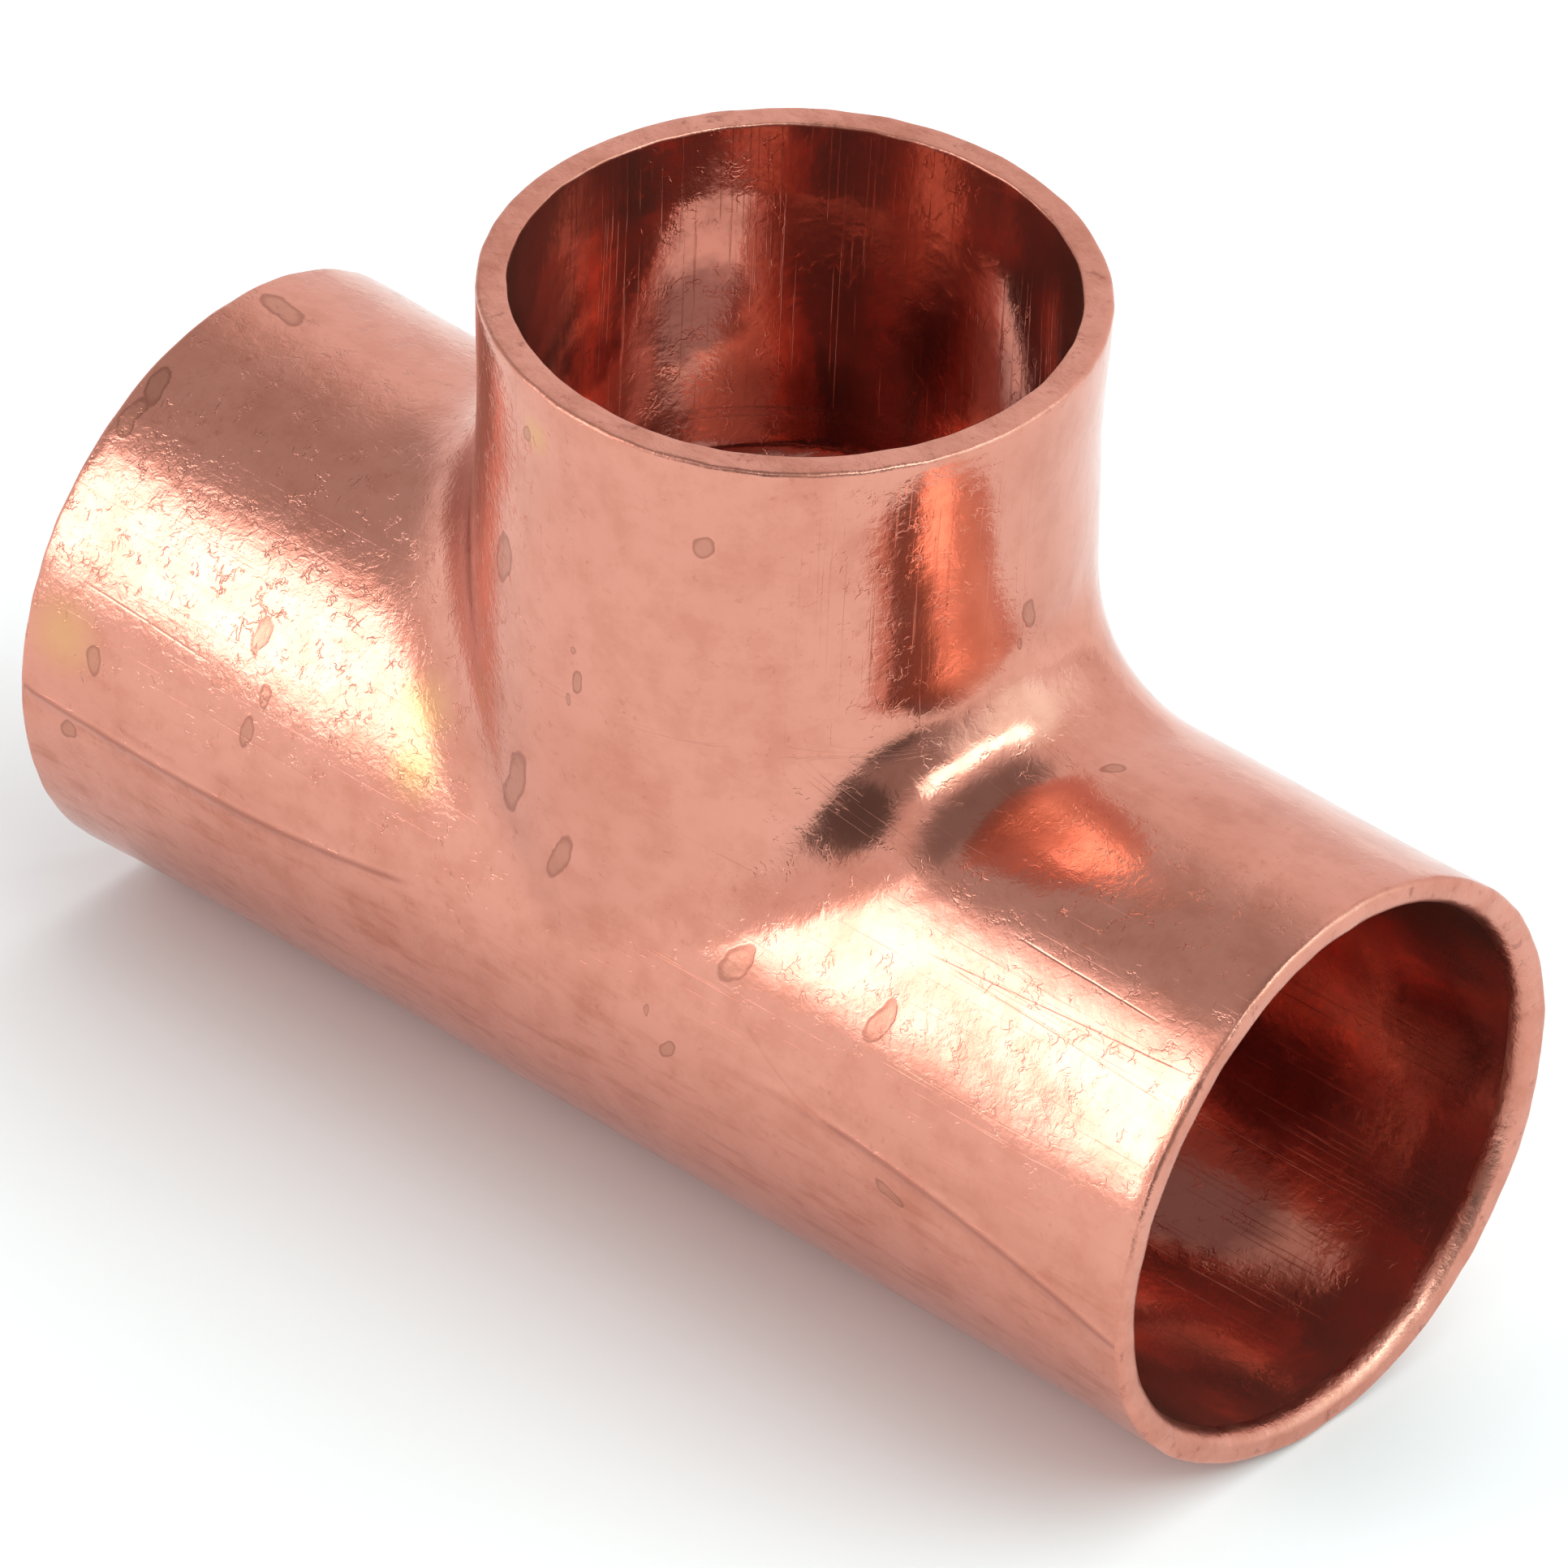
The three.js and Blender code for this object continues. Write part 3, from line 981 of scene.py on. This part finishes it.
# Soft round parts of the room: bearing from the near side towards the right and height,
# then the inner and outer radius, in degrees, and the brightness inside.
ROOM_PARTS = [
    ((-30, 82), (20, 38), 0.28),        # dim ceiling
    ((-88, 38), (18, 42), 0.55),        # left wall
    ((58, 12), (24, 38), 0.38),         # unlit side, where the camera stands
    ((22, 17), (16, 25), 0.12),         # dark screen beside the camera
    ((67, -8), (14, 23), 0.1),          # dark screen at the right
]
ROOM_LIGHT = 1.0

# The cool right wall and the strip light over it, each part as above.
COOL_PARTS = [((120, 30), (18, 36), 1.4)]
COOL_PARTS += [((bearing, 46), (3, 8), 4.2) for bearing in range(64, 124, 9)]
COOL_COLOR = (0.98, 1.3, 1.3, 1)

# The key window faces the fitting from the first direction; the second points along it.
KEY_FROM = (-0.574, -0.819, 0.0)
KEY_ALONG = (-0.819, 0.574, 0.0)


def direction(bearing, rise):
    """Towards a bearing, counted from the near side to the right, and a height, in radians."""
    return Vector((
        math.sin(bearing) * math.cos(rise), -math.cos(bearing) * math.cos(rise), math.sin(rise)))


def disc(recipe, toward, place, size):
    """How far a direction lies inside a soft round part of the room."""
    middle = direction(*(math.radians(angle) for angle in place))
    inner, outer = (math.cos(math.radians(angle)) for angle in size)
    return recipe.step(recipe.vector("DOT_PRODUCT", toward, middle), outer, inner)


def over(recipe, share, brightness, light):
    """One brightness laid over another where its share is 1."""
    return recipe.total(
        recipe.times(share, brightness), recipe.times(recipe.math("SUBTRACT", 1.0, share), light))


def room(scene, key):
    """Pale walls, their darker and brighter parts, and a tall key window near the left."""
    world = bpy.data.worlds.new("studio_room")
    world.use_nodes = True
    scene.world = world
    recipe = Recipe(world.node_tree)
    toward = recipe.node("ShaderNodeTexCoord").outputs["Generated"]
    light = ROOM_LIGHT
    for place, size, brightness in ROOM_PARTS:
        light = over(recipe, disc(recipe, toward, place, size), brightness, light)
    cool = 0.0
    for place, size, brightness in COOL_PARTS:
        share = disc(recipe, toward, place, size)
        cool = recipe.math("MAXIMUM", cool, share)
        light = over(recipe, share, brightness, light)
    height = recipe.node("ShaderNodeSeparateXYZ", {"Vector": toward}).outputs["Z"]
    level = recipe.vector("NORMALIZE", recipe.scaled(toward, (1.0, 1.0, 0.0)))
    beside = recipe.vector("DOT_PRODUCT", level, KEY_ALONG)
    facing = recipe.vector("DOT_PRODUCT", level, KEY_FROM)
    window = recipe.times(
        recipe.step(beside, -0.16, -0.06), recipe.step(beside, 0.1, 0.34, 1.0, 0.0),
        recipe.step(facing, 0.0, 0.5),
        recipe.step(height, -0.06, 0.2), recipe.step(height, 0.52, 0.82, 1.0, 0.0))
    background = world.node_tree.nodes["Background"]
    recipe.feed(background.inputs["Color"], recipe.mix(cool, (1, 1, 1, 1), COOL_COLOR))
    recipe.feed(background.inputs["Strength"], recipe.total(light, recipe.times(window, key)))


class TEE_OT_set_stage(bpy.types.Operator):
    """Lays the floor, hangs the lights and sets up the camera"""

    bl_idname = "tee.set_stage"
    bl_label = "Set Stage"
    bl_options = {"REGISTER", "UNDO"}

    def execute(self, context):
        stage = context.scene.tee_stage
        self.lay_floor(context, stage)
        room(context.scene, stage.key)
        fill = soft_box("floor_light", FILL_TOWARD, FILL_SIZE, FILL_SIZE, stage.fill)
        fill.visible_glossy = False
        self.place_camera(context, stage)
        context.scene.view_settings.view_transform = "Standard"
        return {"FINISHED"}

    def lay_floor(self, context, stage):
        half = FLOOR_SIZE / 2
        mesh = bpy.data.meshes.new("floor")
        mesh.from_pydata(
            [(-half, -half, 0), (half, -half, 0), (half, half, 0), (-half, half, 0)],
            [], [(0, 1, 2, 3)])
        floor = bpy.data.objects.new("floor", mesh)
        context.scene.collection.objects.link(floor)
        material = bpy.data.materials.new("floor_paper")
        material.use_nodes = True
        shader = material.node_tree.nodes["Principled BSDF"]
        shader.inputs["Base Color"].default_value = rgba(stage.floor)
        shader.inputs["Roughness"].default_value = FLOOR_ROUGHNESS
        floor.data.materials.append(material)

    def place_camera(self, context, stage):
        ahead, rise, roll = stage.azimuth, stage.elevation, stage.roll
        back = direction(ahead, rise)
        right = Vector((math.cos(ahead), math.sin(ahead), 0))
        right.rotate(Matrix.Rotation(roll, 3, back))
        up = back.cross(right)
        crossing = Vector((0, 0, AXIS_HEIGHT))
        place = crossing + back * stage.distance
        aim = crossing + right * AIM_RIGHT + up * AIM_UP
        look = (place - aim).normalized()
        side = up.cross(look).normalized()
        data = bpy.data.cameras.new("camera")
        data.lens = stage.lens
        data.sensor_width = SENSOR
        data.clip_start = NEAR_CLIP
        camera = bpy.data.objects.new("camera", data)
        axes = Matrix((side, look.cross(side), look)).transposed().to_4x4()
        camera.matrix_world = Matrix.Translation(place) @ axes
        context.scene.collection.objects.link(camera)
        context.scene.camera = camera


# --- Panel --------------------------------------------------------------------------------------
class TEE_PT_panel(bpy.types.Panel):
    """Lists the steps and settings of the copper tee"""

    bl_label = "Copper Tee"
    bl_idname = "TEE_PT_panel"
    bl_space_type = "VIEW_3D"
    bl_region_type = "UI"
    bl_category = "Tee"

    def draw(self, context):
        layout = self.layout
        scene = context.scene
        for step, settings in ((TEE_OT_form_body, scene.tee_shape),
                               (TEE_OT_finish_copper, scene.tee_finish),
                               (TEE_OT_set_stage, scene.tee_stage)):
            box = layout.box()
            for name in settings.__annotations__:
                box.prop(settings, name)
            box.operator(step.bl_idname)


CLASSES = (TeeShape, CopperFinish, StudioStage, TEE_OT_form_body, TEE_OT_finish_copper,
           TEE_OT_set_stage, TEE_PT_panel)


def register():
    for each in CLASSES:
        bpy.utils.register_class(each)
    bpy.types.Scene.tee_shape = PointerProperty(type=TeeShape)
    bpy.types.Scene.tee_finish = PointerProperty(type=CopperFinish)
    bpy.types.Scene.tee_stage = PointerProperty(type=StudioStage)


def unregister():
    del bpy.types.Scene.tee_stage
    del bpy.types.Scene.tee_finish
    del bpy.types.Scene.tee_shape
    for each in reversed(CLASSES):
        bpy.utils.unregister_class(each)


def main():
    register()
    bpy.ops.tee.form_body()
    bpy.ops.tee.finish_copper()
    bpy.ops.tee.set_stage()


if __name__ == "__main__":
    main()
